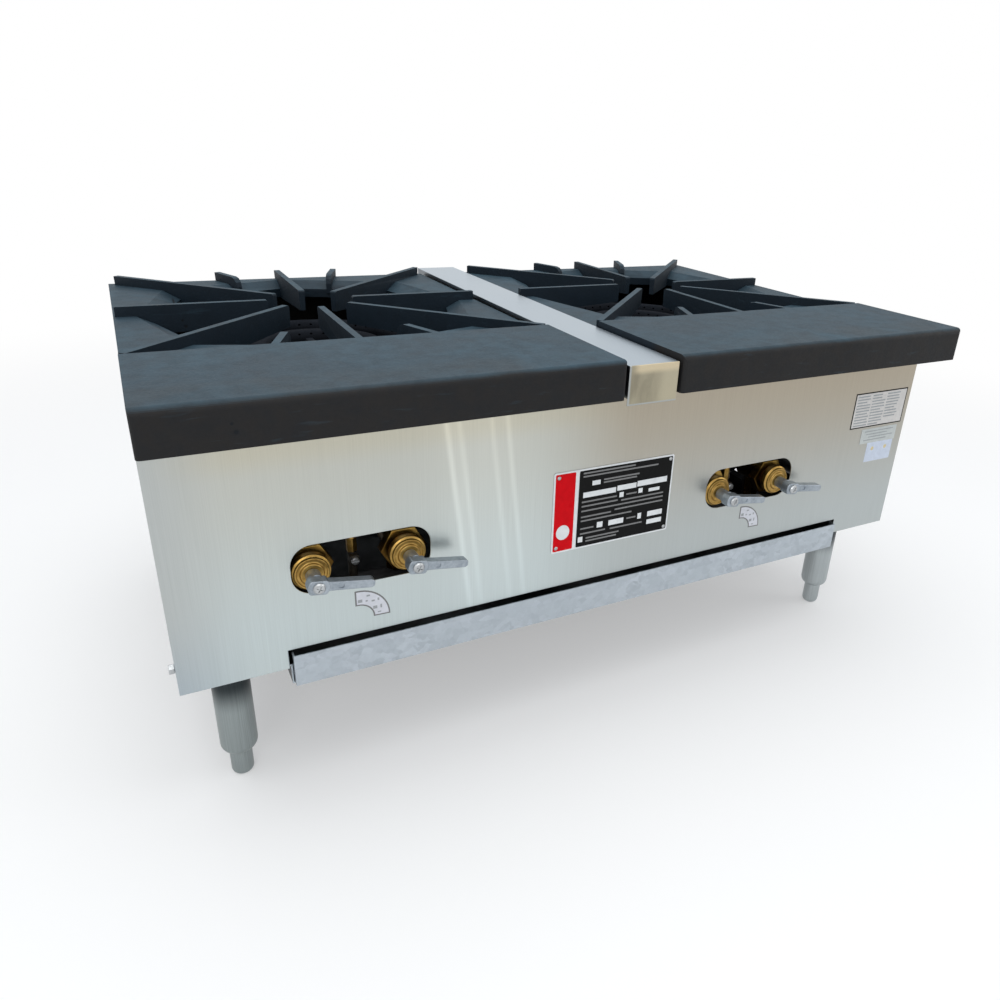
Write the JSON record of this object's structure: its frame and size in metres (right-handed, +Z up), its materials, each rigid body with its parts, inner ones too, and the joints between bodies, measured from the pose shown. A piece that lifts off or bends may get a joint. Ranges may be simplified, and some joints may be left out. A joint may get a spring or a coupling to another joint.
{
  "type": "stock pot range",
  "caption": "Low double gas stock pot range: two ribbed cast-iron top grates over ring burners in a stainless box on legs, with brass lever valves and a slide-out drip tray.",
  "frame": {"origin": "on the floor, under the middle of the range's footprint", "axes": "+X to the right along the front, +Y to the back, +Z up"},
  "size_m": [0.9248, 0.6356, 0.4392],
  "materials": {
    "stainless": "brushed stainless sheet, vertical grain",
    "polished_strip": "fine brushed stainless strip",
    "black_cast_iron": "matt black painted cast iron",
    "grey_cast_iron": "bare grey cast iron",
    "brass": "turned brass",
    "lever_alloy": "cast grey alloy",
    "zinc_plate": "zinc-plated steel",
    "galvanised": "galvanised sheet with spangle",
    "black_pipe": "black iron pipe",
    "aluminium_tube": "drawn aluminium tube",
    "leg_steel": "satin steel tube"
  },
  "bodies": {
    "frame": {"front_panel": "stainless", "back_panel": "stainless", "side_panel_left": "stainless", "side_panel_right": "stainless", "side_bolt_left": "zinc_plate", "side_bolt_right": "zinc_plate", "centre_divider": "stainless", "centre_strip": "polished_strip", "outer_burner_left": "grey_cast_iron", "inner_burner_left": "grey_cast_iron", "outer_burner_right": "grey_cast_iron", "inner_burner_right": "grey_cast_iron", "rear_bar_left": "galvanised", "front_bar_left": "galvanised", "rear_bar_right": "galvanised", "front_bar_right": "galvanised", "gas_manifold": "black_pipe", "supply_pipe": "black_pipe", "valve_outer_left": "brass", "valve_inner_left": "brass", "valve_outer_right": "brass", "valve_inner_right": "brass", "pilot_valve_left": "brass", "pilot_tube_left": "aluminium_tube", "pilot_tip_left": "brass", "pilot_valve_right": "brass", "pilot_tube_right": "aluminium_tube", "pilot_tip_right": "brass", "tray_runner_left": "galvanised", "tray_runner_right": "galvanised", "leg_front_left": "leg_steel", "leg_socket_front_left": "zinc_plate", "leg_front_right": "leg_steel", "leg_socket_front_right": "zinc_plate", "leg_back_left": "leg_steel", "leg_socket_back_left": "zinc_plate", "leg_back_right": "leg_steel", "leg_socket_back_right": "zinc_plate"},
    "lever_outer_left_body": {"lever_outer_left": "lever_alloy", "lever_screw_outer_left": "zinc_plate"},
    "shutter_outer_left_body": {"air_shutter_outer_left": "galvanised"},
    "lever_inner_left_body": {"lever_inner_left": "lever_alloy", "lever_screw_inner_left": "zinc_plate"},
    "shutter_inner_left_body": {"air_shutter_inner_left": "galvanised"},
    "pilot_screw_left_body": {"pilot_screw_left": "zinc_plate"},
    "top_grate_left_body": {"top_grate_left": "black_cast_iron"},
    "lever_outer_right_body": {"lever_outer_right": "lever_alloy", "lever_screw_outer_right": "zinc_plate"},
    "shutter_outer_right_body": {"air_shutter_outer_right": "galvanised"},
    "lever_inner_right_body": {"lever_inner_right": "lever_alloy", "lever_screw_inner_right": "zinc_plate"},
    "shutter_inner_right_body": {"air_shutter_inner_right": "galvanised"},
    "pilot_screw_right_body": {"pilot_screw_right": "zinc_plate"},
    "top_grate_right_body": {"top_grate_right": "black_cast_iron"},
    "drip_tray_body": {"drip_tray": "galvanised"},
    "foot_front_left_body": {"foot_front_left": "leg_steel"},
    "foot_front_right_body": {"foot_front_right": "leg_steel"},
    "foot_back_left_body": {"foot_back_left": "leg_steel"},
    "foot_back_right_body": {"foot_back_right": "leg_steel"}
  },
  "joints": [
    {"name": "lever_outer_left_turn", "type": "hinge", "parent": "frame", "child": "lever_outer_left_body", "pos_m": [-0.3322, -0.28725, 0.251], "axis": [0, 1, 0], "range_deg": [-9, 81]},
    {"name": "air_shutter_outer_left_turn", "type": "hinge", "parent": "frame", "child": "shutter_outer_left_body", "pos_m": [-0.3322, -0.17725, 0.251], "axis": [0, 1, 0], "range_deg": [0, 60]},
    {"name": "lever_inner_left_turn", "type": "hinge", "parent": "frame", "child": "lever_inner_left_body", "pos_m": [-0.2392, -0.28725, 0.251], "axis": [0, 1, 0], "range_deg": [-9, 81]},
    {"name": "air_shutter_inner_left_turn", "type": "hinge", "parent": "frame", "child": "shutter_inner_left_body", "pos_m": [-0.2392, -0.17725, 0.251], "axis": [0, 1, 0], "range_deg": [0, 60]},
    {"name": "pilot_screw_left_turn", "type": "hinge", "parent": "frame", "child": "pilot_screw_left_body", "pos_m": [-0.2837, -0.23425, 0.23655], "axis": [0, 1, 0], "range_deg": [0, 360]},
    {"name": "top_grate_left_lift", "type": "slide", "parent": "frame", "child": "top_grate_left_body", "axis": [0, 0, 1], "range_m": [0, 0.2]},
    {"name": "lever_outer_right_turn", "type": "hinge", "parent": "frame", "child": "lever_outer_right_body", "pos_m": [0.1462, -0.28725, 0.251], "axis": [0, 1, 0], "range_deg": [-9, 81]},
    {"name": "air_shutter_outer_right_turn", "type": "hinge", "parent": "frame", "child": "shutter_outer_right_body", "pos_m": [0.1462, -0.17725, 0.251], "axis": [0, 1, 0], "range_deg": [0, 60]},
    {"name": "lever_inner_right_turn", "type": "hinge", "parent": "frame", "child": "lever_inner_right_body", "pos_m": [0.2392, -0.28725, 0.251], "axis": [0, 1, 0], "range_deg": [-9, 81]},
    {"name": "air_shutter_inner_right_turn", "type": "hinge", "parent": "frame", "child": "shutter_inner_right_body", "pos_m": [0.2392, -0.17725, 0.251], "axis": [0, 1, 0], "range_deg": [0, 60]},
    {"name": "pilot_screw_right_turn", "type": "hinge", "parent": "frame", "child": "pilot_screw_right_body", "pos_m": [0.1947, -0.23425, 0.23655], "axis": [0, 1, 0], "range_deg": [0, 360]},
    {"name": "top_grate_right_lift", "type": "slide", "parent": "frame", "child": "top_grate_right_body", "axis": [0, 0, 1], "range_m": [0, 0.2]},
    {"name": "drip_tray_slide", "type": "slide", "parent": "frame", "child": "drip_tray_body", "axis": [0, -1, 0], "range_m": [0, 0.45]},
    {"name": "foot_front_left_screw", "type": "slide", "parent": "frame", "child": "foot_front_left_body", "axis": [0, 0, -1], "range_m": [0, 0.02]},
    {"name": "foot_front_right_screw", "type": "slide", "parent": "frame", "child": "foot_front_right_body", "axis": [0, 0, -1], "range_m": [0, 0.02]},
    {"name": "foot_back_left_screw", "type": "slide", "parent": "frame", "child": "foot_back_left_body", "axis": [0, 0, -1], "range_m": [0, 0.02]},
    {"name": "foot_back_right_screw", "type": "slide", "parent": "frame", "child": "foot_back_right_body", "axis": [0, 0, -1], "range_m": [0, 0.02]}
  ]
}
